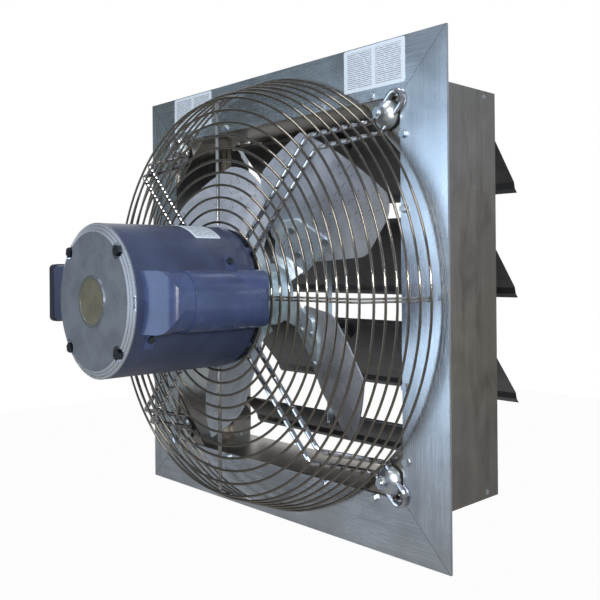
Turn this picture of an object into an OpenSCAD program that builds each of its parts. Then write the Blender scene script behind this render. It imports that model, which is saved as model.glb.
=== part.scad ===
/* [Wall frame] */
// Overhang of the frame past each side of the box behind it
overhang_w = 46.5; // [42:0.5:52]
// Width of the lip turned inward along the box's front edge
lip_w = 22; // [20:0.5:24]
// Thickness of the frame and box sheet
sheet_t = 1.6; // [1.2:0.1:2]
// Width of the hem folded back along the frame's outer edge
hem_w = 13; // [9:0.5:16]

/* [Box] */
// Depth of the box behind the wall plane
box_d = 158; // [152:1:170]
// Width of the tabs that tie the top and bottom panels to the sides
tab_w = 12; // [11:0.5:14]
// Width of the hem folded inward along the back edge of each side panel
side_hem_w = 17; // [12:1:20]
// Height of the drip lip at the back of the top panel
drip_h = 7; // [4:0.5:8]
// Length of each corner gusset along the box wall
gusset_leg = 110; // [104:1:116]
// Thickness of the corner gussets
gusset_t = 2.5; // [2:0.1:3.5]

/* [Screws and rivets] */
// Diameter of the frame screws
screw_d = 4.2; // [3.6:0.1:5]
// Diameter of the washer face under each frame screw head
screw_washer_d = 10.4; // [9:0.2:11]
// Length of the frame screws under the head
screw_len = 14; // [10:1:20]
// Distance of the frame screws from the edge of the opening
screw_inset = 5.5; // [5:0.1:7]
// Diameter of the box rivets
rivet_d = 4; // [3:0.2:5]

/* [Wire guard] */
// Diameter of the ring wire
ring_wire_d = 3.2; // [2.8:0.1:3.6]
// Radius of the innermost ring, which clears the motor
ring_inner_r = 96; // [95:0.5:98]
// Number of rings on the flat face of the guard
face_rings = 10; // [8:1:10]
// Number of rings on the slanted side of the guard
side_rings = 6; // [4:1:7]
// Depth of the guard in front of the frame
guard_d = 92; // [88:1:100]
// Diameter of the paired radial wires
spoke_d = 2.8; // [2.4:0.1:3]

/* [Struts] */
// Diameter of the strut rod
rod_d = 6.35; // [6:0.05:6.6]
// Distance between the two rods of a strut, centre to centre
rod_pitch = 21.4; // [20.5:0.1:23]
// Distance of the clamps from the inner corners of the box
clamp_back = 57.3; // [55:0.1:58.5]
// Distance outward along each strut from its foot, where it meets the frame, to its clamp
foot_back = 19; // [18:0.5:21]
// Distance from each strut's knee out to its foot
knee_back = 34; // [32:0.5:38]
// Distance from each clamp out to the centre of the strut's end loop
loop_ahead = 21; // [20:0.5:24]
// Diameter of the strut clamps
clamp_d = 36; // [34:0.5:37]
// Height of the clamps above the rods' seat
clamp_h = 12; // [11:0.5:14]
// Diameter of the clamp bolts
clamp_bolt_d = 8; // [6:0.5:8]

/* [Motor] */
// Outer diameter of the motor shell
motor_d = 179; // [174:1:181]
// Length of the motor shell
shell_len = 150; // [146:1:156]
// Wall of the motor shell
shell_t = 2; // [1.5:0.1:2.5]
// Length of the front end bell ahead of the shell
front_bell_len = 6.2; // [5:0.1:8]
// Diameter of the flat front face
face_d = 158; // [150:1:162]
// Length of the rear end bell behind the shell
rear_bell_len = 17; // [15:0.5:20]
// Radius of the circle of the four through bolts
bolt_circle_r = 80; // [78.5:0.5:80.5]
// Diameter of the through bolts
bolt_d = 6; // [5:0.2:6.4]
// Diameter of the round cap over the front bearing
bearing_cap_d = 59.6; // [54:0.2:62]
// Diameter of the motor shaft
shaft_d = 15.875; // [14:0.125:17]
// Outer diameter of the bearings
bearing_d = 40; // [38:1:42]
// Width of the bearings
bearing_w = 12; // [10:1:13]

/* [Capacitor cover and conduit box] */
// Width of the capacitor cover
cover_w = 69; // [66:0.5:72]
// Distance of the cover's outer face from the motor's axis
cover_x = 131; // [129:0.5:134]
// Wall of the capacitor cover
cover_t = 1.5; // [1.2:0.1:2]
// Distance of the conduit box's lid from the motor's axis
conduit_x = 135.4; // [133:0.2:138]
// Height of the conduit box
conduit_h = 72.6; // [68:0.2:76]
// Length of the conduit box along the motor
conduit_len = 90; // [84:1:96]
// Depth of the conduit box's lid
lid_d = 10; // [8:0.5:12]
// Wall of the conduit box and its lid
conduit_t = 2; // [1.5:0.1:2.5]
// Diameter of the conduit entry in the box's underside
entry_d = 22.2; // [20:0.2:23]

/* [Propeller] */
// Diameter across the blade tips, which sets the opening, the box and the frame around it
prop_d = 457.2; // [440:0.2:480]
// Gap between the blade tips and the edge of the opening
tip_gap = 7.9; // [6:0.1:12]
// Place of the blades' middle lines behind the wall plane
prop_y = 1.6; // [-3:0.1:5]
// Distance of the blades' middle lines from the motor's axis
blade_offset = 29.9; // [26:0.1:32]
// Pitch angle of the blades
blade_pitch = 28.5; // [26:0.5:31]
// Thickness of the blades
blade_t = 1.6; // [1.2:0.1:2]
// Radius of the blades' hollow face
camber_r = 800; // [600:10:1200]
// Angle of the first blade's middle line from the horizontal
blade_phase = 37; // [0:1:90]
// Thickness of the four-armed spider
spider_t = 3; // [2.5:0.1:3.5]
// Diameter of the hub
hub_d = 44; // [40:1:48]
// Length of the hub
hub_len = 30; // [26:1:34]

/* [Shutter] */
// Distance of the shutter pivots behind the wall plane
pivot_y = 124.9; // [122:0.1:128]
// Distance of the top pivot under the top panel
pivot_drop = 13.4; // [12.4:0.1:15]
// Spacing of the pivots, as a share of the height inside the box
shutter_pitch_share = 0.27774; // [0.27:0.0002:0.279]
// Angle of the blades from closed, as the part is drawn
shutter_open = 41; // [20:1:60]
// Thickness of the shutter blades
louvre_t = 0.8; // [0.7:0.1:1]
// Gap between the ends of a blade and the rails beside it
louvre_side_gap = 5.3; // [4:0.1:7]
// Diameter of the pivot rods
pivot_d = 4; // [3.6:0.1:4.2]
// Width of the vertical tie bar
tie_w = 10; // [8:0.5:12]
// Thickness of the tie bar
tie_t = 2; // [1.5:0.1:2.5]
// Distance of the tie bar's pins from the pivots
tie_r = 22; // [20:0.5:23]

/* [Hidden] */
$fn = 96;

// Overrun of every cut past the face that it opens
cut = 1;
// Gap between metal faces that seat on each other
seat = 0.05;
// Gap between wires welded side by side
weld = 0.3;
// Radial clearance of a turning fit
run = 0.05;

tip_r = prop_d / 2;
open_half = tip_r + tip_gap;
box_half = open_half + lip_w;
box_in = box_half - sheet_t;
frame_half = box_half + overhang_w;
frame_t = 2 * sheet_t;

// Colours
galvanised = [0.66, 0.67, 0.68];
bright = [0.78, 0.79, 0.8];
zinc = [0.72, 0.73, 0.72];
motor_blue = [0.3, 0.35, 0.47];
bell_grey = [0.62, 0.64, 0.66];

// Frame screws
screw_line = open_half + screw_inset;
screw_place_shares = [-0.805, -0.4385, 0.4385, 0.805];
screw_af = 8;
screw_washer_h = 1;
screw_head_h = 4.5;
hole_gap = 0.1;

// Box, rails and rivets
tab_front = 12;
tab_back_gap = 1.5;
rail_in = box_in - 2 * sheet_t;
rail_end_gap = 0.4;
rail_ahead = 13;
rail_behind = 15;
rail_front = pivot_y - rail_ahead;
rail_back = pivot_y + rail_behind;
rail_flange = 10;
box_rivet_behind = 9.5;
box_rivet_y = pivot_y + box_rivet_behind;
box_rivet_z = box_in - tab_w / 2;
rivet_head_d = 7;
rivet_head_h = 1.2;
box_tab_back = box_d - side_hem_w - tab_back_gap;

// Guard and struts, in a radial plane as [radius, y]
ring_r = ring_wire_d / 2;
rod_r = rod_d / 2;
spoke_r = spoke_d / 2;
spoke_gap = 0.6;
ring_y = -frame_t - guard_d;
rod_y = ring_y + ring_r + weld + rod_r;
foot_y = -frame_t - seat - rod_r;
knee_bend_r = 9;
foot_bend_r = 6.5;
clamp_r = sqrt(2) * box_in - clamp_back;
foot_r = clamp_r - foot_back;
knee_r = foot_r - knee_back;
loop_r = clamp_r + loop_ahead;
// The outermost flat ring lies this far inside the knee
knee_clear = 13.9;
ring_pitch = (knee_r - knee_clear - ring_inner_r) / (face_rings - 1);
knee = [knee_r, rod_y];
foot = [foot_r, foot_y];
slope = unit([foot_r - knee_r, foot_y - rod_y]);
slope_out = [slope.y, -slope.x];
slope_len = norm(foot - knee);
last_ring_back = 5.5;
bend_steps = 6;
loop_steps = 10;
rod_sides = 12;
spoke_sides = 8;
plate_r = 88;
plate_t = 3;
plate_bore_r = 24;
plate_y = rod_y + rod_r + seat;
strut_in_r = 62;

// Clamps
clamp_r_of = clamp_d / 2;
clamp_nut_af = 13;
clamp_nut_h = 6.5;
clamp_head_h = 5.5;
clamp_tail = 3;
clamp_top_y = -frame_t - clamp_h;
clamp_round = 0.6;
clamp_sphere_r = (clamp_r_of * clamp_r_of + clamp_h * clamp_h) / (2 * clamp_h) + clamp_round;

// Motor, along Y
shell_r = motor_d / 2;
bell_gap = 1;
bell_back_y = rod_y - rod_r - bell_gap;
shell_back_y = bell_back_y - rear_bell_len;
shell_front_y = shell_back_y - shell_len;
face_y = shell_front_y - front_bell_len;
face_r = face_d / 2;
bell_wall = 5;
bell_spigot = 9;
spigot_gap = 0.1;
bell_edge = 3;
front_edge = 1;
bell_bore_gap = 3;
rear_bore_gap = 1;
boss_r = 5.5;
bolt_r = bolt_d / 2;
bolt_af = 11;
bolt_head_h = 5;
bolt_pocket_r = 9.5;
bolt_pocket_d = 4;
bolt_nut_h = 5;
bolt_tail = 3;
notch_w = 16;
notch_h = 7;
cap_recess = 1.5;
cap_proud = 0.6;
cap_r = bearing_cap_d / 2;
cap_ring_w = 3;
cap_ring_h = 0.8;
shaft_r = shaft_d / 2;
shaft_tail = 24;
bearing_r = bearing_d / 2;
bearing_in = 8;
bearing_back = 5;
bearing_y_front = face_y + bearing_in;
bearing_y_rear = bell_back_y - bearing_back - bearing_w;
housing_t = 4;
stator_in = 46;
stator_front = shell_front_y + stator_in;
stator_len = 66;
stator_in_r = 46;
air_gap = 0.5;
winding_len = 18;
winding_in_r = 50;
winding_out_r = 70;
bolt_way = 1.2;

// Capacitor cover and conduit box
cover_in = 8.7;
cover_over = 3.8;
cover_sink = 22;
cover_front = shell_front_y + cover_in;
cover_back = shell_back_y + cover_over;
cover_nose = 12;
cover_corner_r = 28;
cover_end_r = 14;
cover_low_x = shell_r - cover_sink;
waist_front = 15.5;
waist_len = 22.7;
waist_in = 1.8;
capacitor_r = 17.5;
capacitor_len = 92;
capacitor_back = 14;
strap_gap = 0.25;
cover_screw_r = 2.1;
cover_screw_head_r = 4.3;
cover_screw_head_h = 2.2;
cover_screw_len = 7;
cover_side_angle = asin(cover_w / (2 * shell_r));
ear_w = 13;
ear_len = 12;
// Distances of the two ears' screws out from the sides of the cover and in from the ends of the shell
ear_out = [10, 5.8];
ear_in = [22, 21];
conduit_top = 43.3;
conduit_in = 5.3;
conduit_sink = 8;
conduit_front = shell_front_y + conduit_in;
conduit_corner_r = 6;
lid_over = 1.6;
conduit_low_x = shell_r - conduit_sink;
entry_shift = 2;
conduit_screw_in = 12;
conduit_screw_r = 1.5;
conduit_screw_gap = 0.1;
conduit_head_r = 3.4;
conduit_head_h = 2;

// Propeller
spider_y = prop_y - blade_t - seat - spider_t / 2;
disc_r = 42;
neck_w = 46;
neck_start = 31.5;
neck_end_share = 0.24;
neck_side = 13;
neck_t = 2.4;
neck_steps = 8;
hub_flange_r = 31;
hub_flange_t = 5;
hub_spigot_r = 13;
hub_spigot_proud = 1;
hub_rivet_r = 27;
set_screw_back = 18.75;
set_screw_proud = 2;
rivet_r = 2.6;
rivet_dome_r = 4.6;
rivet_dome_h = 2;
blade_rivet_places = tip_r * [[0.306, -0.066], [0.503, -0.14], [0.398, 0.0525]];
blade_turns = [0, 90, 180, 270];
set_screw_r = 3;
// The outlines of the blades and the spider's pads as shares of the tip radius, along the middle line
// and across it towards the leading edge, and their corner radii
blade_outline_shares = [[0.324, -0.153], [0.604, -0.367], [1.023, -0.28], [1.07, 0.345],
                        [0.66, 0.405], [0.49, 0.41], [0.255, 0.13], [0.245, -0.075]];
blade_corner_shares = [0.05, 0.09, 0.24, 0.1, 0.3, 0.12, 0.06, 0.02];
pad_outline_shares = [[0.21, -0.17], [0.525, -0.166], [0.477, 0.074], [0.363, 0.153],
                      [0.197, 0.052]];
pad_corner_shares = [0.03, 0.04, 0.03, 0.03, 0.03];

// Shutter blades, as [distance down the blade, distance outward] when closed
shutter_pitch = shutter_pitch_share * 2 * box_in;
pivot_r = pivot_d / 2;
curl_in_r = pivot_r + run;
curl_lap = 0.05;
curl_r = curl_in_r + louvre_t + 2 * curl_lap;
hem_gap = 0.5;
hem_step = 4;
hem_lap = 3.6;
hem_len = 7.4;
band_len = 7.7;
hem_out = curl_r + hem_gap;
panel_out = hem_out + hem_step;
hem_end = shutter_pitch + hem_lap;
hem_start = hem_end - hem_len;
band_start = hem_start - band_len;
joggle_start = 5.2;
joggle_len = panel_out - curl_in_r - curl_lap;
louvre_half = rail_in - louvre_side_gap;
pivot_z = box_in - pivot_drop;
last_gap = 2.4;
last_blade_len = box_in + pivot_z - 3 * shutter_pitch - last_gap;
bush_r = 3.5;
bush_flange_r = 5;
bush_flange_t = 1.5;
rod_end_gap = 0.6;
rod_half = rail_in + sheet_t - rod_end_gap;
tie_angle = 20;
tie_x = 0;
tie_side_gap = 0.4;
tab_t = 2;
tab_arm_w = 8;
tab_eye_r = 5;
tab_root_start = 16;
tab_root_end = 40;
tab_root = [for (s = [tab_root_start, tab_root_end]) [s, panel_out - (tab_arm_w - louvre_t) / 2]];
tab_elbow = [6, -9];
tie_pin_r = 2;
tie_open_gap = 0.3;
tie_head_r = 3.6;
tie_head_t = 1.2;

function unit(v) = v / norm(v);
function left_of(v) = [-v.y, v.x];
function direction(path, i) = unit(path[i + 1] - path[i]);

// Mitre vector at point i of a path, one unit to the left of both of its stretches
function mitre(path, i) =
    i == 0 ? left_of(direction(path, 0))
    : i == len(path) - 1 ? left_of(direction(path, i - 1))
    : let (a = left_of(direction(path, i - 1)), b = left_of(direction(path, i)))
      (a + b) / (1 + a * b);

// Outline of a sheet of thickness t on the left of a path
function sheet_outline(path, t) =
    concat(path, [for (i = [len(path) - 1 : -1 : 0]) path[i] + t * mitre(path, i)]);

// Outline of a strip of width w along the middle of a path
function strip_outline(path, w) =
    sheet_outline([for (i = [0 : len(path) - 1]) path[i] - w / 2 * mitre(path, i)], w);

// Turn at an inner point of a path, positive to the left
function turn(path, i) =
    let (a = direction(path, i - 1), b = direction(path, i)) atan2(a.x * b.y - a.y * b.x, a * b);

// A closed outline with its corners rounded to the radii given, in arcs of so many steps
function rounded(points, radii, steps) =
    [for (i = [0 : len(points) - 1])
        let (n = len(points), p = points[i],
             a = unit(points[(i + n - 1) % n] - p), b = unit(points[(i + 1) % n] - p),
             half = acos(a * b) / 2, r = radii[i],
             c = p + unit(a + b) * r / sin(half),
             s = p + a * r / tan(half) - c, sweep = 180 - 2 * half,
             way = (a.x * b.y - a.y * b.x) > 0 ? -1 : 1)
        for (k = [0 : steps])
            let (q = way * sweep * k / steps)
            c + [s.x * cos(q) - s.y * sin(q), s.x * sin(q) + s.y * cos(q)]];

// Turns a radial plane drawn at +X to the angle a, measured from +X towards +Z
module at_angle(a) rotate([0, -a, 0]) children();

// Copies at the four corners
module at_corners() for (a = [45 : 90 : 315]) at_angle(a) children();

// A cylinder along Y from y0 to y1
module y_rod(r, y0, y1) translate([0, y0, 0]) rotate([-90, 0, 0]) cylinder(r = r, h = y1 - y0);

// A hexagon along Y from y0 to y1
module y_hex(af, y0, y1)
    translate([0, y0, 0]) rotate([-90, 0, 0]) cylinder(d = af / cos(30), h = y1 - y0, $fn = 6);

// A profile in [radius, y] turned about the Y axis
module y_revolve() rotate([-90, 0, 0]) rotate_extrude() children();

// An outline in [x, z] carried along Y from y0 to y1
module y_extrude(y0, y1)
    translate([0, y1, 0]) rotate([90, 0, 0]) linear_extrude(height = y1 - y0) children();

// A flat vector turned by the angle a
function spin(v, a) = [v.x * cos(a) - v.y * sin(a), v.x * sin(a) + v.y * cos(a)];

// A flat path with its inner corners bent to the radii given, in arcs of so many steps
function bent_path(path, bends, steps) = [for (i = [0 : len(path) - 1])
    each i == 0 || i == len(path) - 1 ? [path[i]]
        : let (d = direction(path, i - 1), t = turn(path, i), side = sign(t),
               c = path[i] - d * bends[i] * tan(abs(t) / 2) + side * bends[i] * left_of(d))
          [for (k = [0 : steps]) c + spin(-side * bends[i] * left_of(d), t * k / steps)]];

// The points of a flat path, moved to the height z
function lifted(path, z) = [for (p = path) [p.x, p.y, z]];

function reversed(list) = [for (i = [len(list) - 1 : -1 : 0]) list[i]];

// The part of v that is square to t, as a unit vector
function square_to(v, t) = unit(v - (v * t) * t);

// A round tube swept along points in space, with so many sides
module tube(points, r, sides) {
    n = len(points);
    steps = [for (i = [0 : n - 2]) unit(points[i + 1] - points[i])];
    tangents = [for (i = [0 : n - 1]) unit(steps[max(i - 1, 0)] + steps[min(i, n - 2)])];
    normals = [for (i = 0, v = square_to([0, 0, 1], tangents[0]); i < n;
                    i = i + 1, v = square_to(v, tangents[min(i, n - 1)])) v];
    rings = [for (i = [0 : n - 1], k = [0 : sides - 1])
        let (a = 360 * k / sides)
        points[i] + r * (cos(a) * normals[i] + sin(a) * cross(tangents[i], normals[i]))];
    walls = [for (i = [0 : n - 2], k = [0 : sides - 1])
        let (a = i * sides + k, b = i * sides + (k + 1) % sides)
        each [[a, a + sides, b], [b, a + sides, b + sides]]];
    ends = [[for (k = [0 : sides - 1]) k], [for (k = [sides - 1 : -1 : 0]) (n - 1) * sides + k]];
    polyhedron(points = rings, faces = concat(walls, ends));
}

// Shank holes for the frame screws of the strip on top, from y0 to y1
module screw_holes(y0, y1)
    for (s = screw_place_shares)
        translate([s * open_half, 0, screw_line]) y_rod(screw_d / 2 + hole_gap, y0, y1);

// Quarter outline between two squares, cut at 45 degrees at both ends
module mitred(inner, outer)
    polygon([[-inner, inner], [inner, inner], [outer, outer], [-outer, outer]]);

// One mitred frame strip, drawn on top: the front sheet with its folded hem
module frame_strip() difference() {
    union() {
        y_extrude(-frame_t, -sheet_t) mitred(open_half, frame_half);
        y_extrude(-sheet_t - seat / 2, 0) mitred(frame_half - hem_w, frame_half);
    }
    screw_holes(-frame_t - cut, cut);
}

module frame_top() color(galvanised) frame_strip();
module frame_bottom() color(galvanised) at_angle(180) frame_strip();
module frame_left() color(galvanised) at_angle(90) frame_strip();
module frame_right() color(galvanised) at_angle(270) frame_strip();

// Hex washer-head screws through the frame, the box lip and the gussets
module frame_screws() color(zinc)
    for (a = [0 : 90 : 270], s = screw_place_shares)
        at_angle(a) translate([s * open_half, 0, screw_line]) {
            y_rod(screw_d / 2, -frame_t, -frame_t + screw_len);
            y_rod(screw_washer_d / 2, -frame_t - screw_washer_h, -frame_t);
            y_hex(screw_af, -frame_t - screw_head_h, -frame_t - screw_washer_h);
        }

// Rivet holes through the side wall, tab and rail, at all four back corners
module box_rivet_holes()
    for (sz = [-1, 1]) translate([-box_half - cut, box_rivet_y, sz * box_rivet_z]) rotate([0, 90, 0])
        cylinder(r = rivet_d / 2 + hole_gap, h = 2 * (box_half + cut));

// Top panel: wall, front lip, drip lip and a tab at each end
module box_top() color(galvanised) difference() {
    union() {
        translate([-box_in, -sheet_t, box_in]) cube([2 * box_in, box_d + sheet_t, sheet_t]);
        panel_lip();
        panel_tabs();
        translate([-louvre_half, box_d - sheet_t, box_in - drip_h])
            cube([2 * louvre_half, sheet_t, drip_h + sheet_t / 2]);
    }
    screw_holes(-sheet_t - cut, cut);
    box_rivet_holes();
}

// Front lip of the panel on top, kept between the side walls
module panel_lip() y_extrude(-sheet_t, 0) intersection() {
    mitred(open_half, box_half);
    translate([-box_in, 0]) square([2 * box_in, box_half]);
}

// Tabs of the panel on top, folded down inside the side walls
module panel_tabs()
    for (s = [0, 1]) mirror([s, 0, 0])
        translate([box_in - sheet_t, tab_front, box_in - tab_w])
            cube([sheet_t, box_tab_back - tab_front, tab_w + sheet_t / 2]);

// Bottom panel: as the top one, with no drip lip
module box_bottom() color(galvanised) mirror([0, 0, 1]) difference() {
    union() {
        translate([-box_in, -sheet_t, box_in]) cube([2 * box_in, box_d + sheet_t, sheet_t]);
        panel_lip();
        panel_tabs();
    }
    screw_holes(-sheet_t - cut, cut);
    box_rivet_holes();
}

// Side panel on the right: wall, front lip and a hem folded inward along the back edge
module box_side() color(galvanised) difference() {
    union() {
        translate([box_in, -sheet_t, -box_half]) cube([sheet_t, box_d + sheet_t, 2 * box_half]);
        at_angle(270) y_extrude(-sheet_t, 0) mitred(open_half, box_half - sheet_t / 2);
        translate([box_in - sheet_t, box_d - side_hem_w, -box_in + tab_w])
            cube([sheet_t * 1.5, side_hem_w, 2 * (box_in - tab_w)]);
    }
    at_angle(270) screw_holes(-sheet_t - cut, cut);
    box_rivet_holes();
}

module box_right() box_side();
module box_left() mirror([1, 0, 0]) box_side();

// Blind rivets at the back corners of the box
module box_rivets() color(bright)
    for (sx = [0, 1], sz = [-1, 1]) mirror([sx, 0, 0])
        translate([0, box_rivet_y, sz * box_rivet_z]) rotate([0, 90, 0]) {
            translate([0, 0, rail_in - rivet_head_h]) cylinder(d = rivet_head_d, h = rivet_head_h);
            translate([0, 0, rail_in - rivet_head_h / 2])
                cylinder(d = rivet_d, h = box_half - rail_in + rivet_head_h);
            translate([0, 0, box_half]) cylinder(d1 = rivet_head_d, d2 = rivet_d, h = rivet_head_h);
        }

// Triangular plates behind the box lip at the inner corners of the frame
module corner_gussets() color(galvanised)
    for (a = [0 : 90 : 270]) at_angle(a) difference() {
        y_extrude(0, gusset_t) polygon([[box_in - seat, box_in - seat],
            [box_in - gusset_leg, box_in - seat], [box_in - seat, box_in - gusset_leg]]);
        screw_holes(-cut, gusset_t + cut);
        at_angle(270) screw_holes(-cut, gusset_t + cut);
        at_angle(45) translate([clamp_r, 0, 0]) y_rod(clamp_bolt_d / 2 + hole_gap, -cut, gusset_t + cut);
    }

// Height of pivot i, counted from the top
function pivot_height(i) = pivot_z - i * shutter_pitch;

// Rail on the right that holds the bushes of the shutter, an angle with its flange forward
module shutter_rail() color(galvanised) difference() {
    union() {
        translate([rail_in, rail_front, -box_in + rail_end_gap])
            cube([sheet_t - seat, rail_back - rail_front, 2 * (box_in - rail_end_gap)]);
        translate([rail_in - rail_flange, rail_front, -box_in + rail_end_gap])
            cube([rail_flange + sheet_t / 2, sheet_t, 2 * (box_in - rail_end_gap)]);
    }
    for (i = [0 : 3]) translate([rail_in - cut, pivot_y, pivot_height(i)]) rotate([0, 90, 0])
        cylinder(r = bush_r + seat, h = sheet_t + 2 * cut);
    box_rivet_holes();
}

module shutter_rail_right() shutter_rail();
module shutter_rail_left() mirror([1, 0, 0]) shutter_rail();

// Flanged bushes in the rails
module shutter_bushes() color([0.9, 0.9, 0.86])
    for (s = [0, 1], i = [0 : 3]) mirror([s, 0, 0])
        translate([0, pivot_y, pivot_height(i)]) rotate([0, 90, 0]) difference() {
            union() {
                translate([0, 0, rail_in - bush_flange_t])
                    cylinder(r = bush_flange_r, h = bush_flange_t - seat);
                translate([0, 0, rail_in - bush_flange_t])
                    cylinder(r = bush_r, h = bush_flange_t + sheet_t - seat);
            }
            translate([0, 0, rail_in - bush_flange_t - cut])
                cylinder(r = pivot_r + run, h = bush_flange_t + sheet_t + 2 * cut);
        }

// One ring of the guard
module guard_ring(r, y) y_revolve() translate([r, y]) circle(r = ring_r, $fn = 32);

// Place of the ring on the slanted side at the share s of its length, as [radius, y]
function side_ring(s) =
    knee + slope_out * (rod_r + weld + ring_r) + slope * s * (slope_len - last_ring_back);

// Concentric rings on the flat face of the guard
module guard_rings() color(bright)
    for (i = [0 : face_rings - 1]) guard_ring(ring_inner_r + i * ring_pitch, ring_y);

// Rings on the knee and down the slanted side
module guard_side_rings() color(bright) {
    guard_ring(knee_ring.x, knee_ring.y);
    for (i = [1 : side_rings]) guard_ring(side_ring(i / side_rings).x, side_ring(i / side_rings).y);
}

// The ring on the knee seats on the outside of the struts' bend
knee_path = [[strut_in_r, rod_y], knee, foot, [loop_r, foot_y]];
knee_out = unit(slope_out + [0, -1]);
knee_centre = knee - knee_out * knee_bend_r / cos(turn(knee_path, 1) / 2);
knee_ring = knee_centre + knee_out * (knee_bend_r + rod_r + weld + ring_r);

// Paired wires at the quarters, behind the rings and down the slanted side
module guard_spokes() color(bright) {
    start = [ring_inner_r - 2 * ring_r, ring_y + ring_r + weld + spoke_r];
    end = side_ring(1) + slope * 2 * ring_r - slope_out * (ring_r + weld + spoke_r);
    corner = [end.x - slope.x * (end.y - start.y) / slope.y, start.y];
    path = bent_path([start, corner, end], [0, knee_bend_r + rod_r - spoke_r, 0], bend_steps);
    for (a = [0 : 90 : 270], s = [-1, 1]) at_angle(a)
        tube(lifted(path, s * (spoke_r + spoke_gap / 2)), spoke_r, spoke_sides);
}

// Hairpin struts on the diagonals: two bent rods joined by a loop over each corner
module strut_rods() color(bright) at_corners() {
    side = bent_path(knee_path, [0, knee_bend_r, foot_bend_r, 0], bend_steps);
    loop = [for (k = [1 : loop_steps - 1]) let (a = 180 * k / loop_steps - 90)
        [loop_r + rod_pitch / 2 * cos(a), foot_y, rod_pitch / 2 * sin(a)]];
    whole = concat(lifted(side, -rod_pitch / 2), loop, reversed(lifted(side, rod_pitch / 2)));
    tube(whole, rod_r, rod_sides);
}

// Grooves for the two rods of a strut, open to the front where the rods rise
module strut_grooves() for (s = [-1, 1]) translate([0, 0, s * rod_pitch / 2]) {
    translate([foot_r, foot_y, 0]) rotate([0, 90, 0])
        cylinder(r = rod_r + hole_gap, h = loop_r - foot_r);
    rise = foot_r + foot_bend_r * tan(abs(turn(knee_path, 2)) / 2) + hole_gap;
    translate([clamp_r - clamp_r_of - cut, clamp_top_y, -rod_r - hole_gap])
        cube([rise - clamp_r + clamp_r_of + cut, foot_y - clamp_top_y, 2 * (rod_r + hole_gap)]);
}

// Round pads that carry the rods level with the frame
module clamp_pads() color([0.2, 0.2, 0.21]) at_corners() translate([clamp_r, 0, 0]) difference() {
    y_rod(clamp_r_of - 2 * seat, -frame_t + seat, -seat);
    y_rod(clamp_bolt_d / 2 + hole_gap, -frame_t - cut, cut);
}

// Domed clamps grooved for the two rods
module strut_clamps() color(zinc) at_corners() difference() {
    translate([clamp_r, 0, 0]) difference() {
        intersection() {
            translate([0, clamp_top_y + clamp_sphere_r - clamp_round, 0]) sphere(r = clamp_sphere_r);
            y_rod(clamp_r_of, clamp_top_y, -frame_t - seat);
        }
        y_rod(clamp_bolt_d / 2 + hole_gap, clamp_top_y - cut, cut);
    }
    strut_grooves();
}

// Bolts from behind the gussets through pads and clamps
module clamp_bolts() color(zinc) at_corners() translate([clamp_r, 0, 0]) {
    y_rod(clamp_bolt_d / 2, clamp_top_y - clamp_nut_h - clamp_tail, gusset_t + seat);
    y_hex(clamp_nut_af, gusset_t + seat, gusset_t + clamp_head_h);
}

// Nuts on the front of the clamps
module clamp_nuts() color(zinc) at_corners() translate([clamp_r, 0, 0]) difference() {
    y_hex(clamp_nut_af, clamp_top_y - seat - clamp_nut_h, clamp_top_y - seat);
    y_rod(clamp_bolt_d / 2 + seat, clamp_top_y - clamp_nut_h - cut, clamp_top_y + cut);
}

// Plate welded across the inner ends of the struts, which carries the motor
module motor_mount_plate() color(bright) difference() {
    y_rod(plate_r, plate_y, plate_y + plate_t);
    y_rod(plate_bore_r, plate_y - cut, plate_y + plate_t + cut);
    at_corners() translate([bolt_circle_r, 0, 0])
        y_rod(bolt_r + hole_gap, plate_y - cut, plate_y + plate_t + cut);
}

module motor_shell() color(motor_blue) difference() {
    y_rod(shell_r, shell_front_y, shell_back_y);
    y_rod(shell_r - shell_t, shell_front_y - cut, shell_back_y + cut);
}

// Through-bolt holes and other cuts along the motor are drawn on this circle
module at_bolts() at_corners() translate([bolt_circle_r, 0, 0]) children();

// Front end bell: a chamfered disc with a spigot, a bearing housing and pockets for the bolt heads
module front_bell() color(bell_grey) difference() {
    y_revolve() polygon([
        [shaft_r + bell_bore_gap, face_y], [face_r, face_y], [shell_r, shell_front_y - front_edge],
        [shell_r, shell_front_y - seat], [shell_r - shell_t - spigot_gap, shell_front_y - seat],
        [shell_r - shell_t - spigot_gap, shell_front_y + bell_spigot],
        [shell_r - shell_t - bell_wall, shell_front_y + bell_spigot],
        [shell_r - shell_t - bell_wall, face_y + bell_wall],
        [bearing_r + housing_t, face_y + bell_wall],
        [bearing_r + housing_t, bearing_y_front + bearing_w],
        [bearing_r + seat, bearing_y_front + bearing_w], [bearing_r + seat, bearing_y_front - seat],
        [shaft_r + bell_bore_gap, bearing_y_front - seat]]);
    y_rod(cap_r + seat, face_y - cut, face_y + cap_recess);
    at_bolts() {
        y_rod(bolt_pocket_r, face_y - cut, face_y + bolt_pocket_d);
        y_rod(bolt_r + hole_gap, face_y - cut, shell_front_y + bell_spigot + cut);
    }
    translate([shell_r - notch_h / 2, face_y - cut, -notch_w / 2])
        cube([notch_h, front_bell_len + cut - seat, notch_w]);
}

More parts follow.
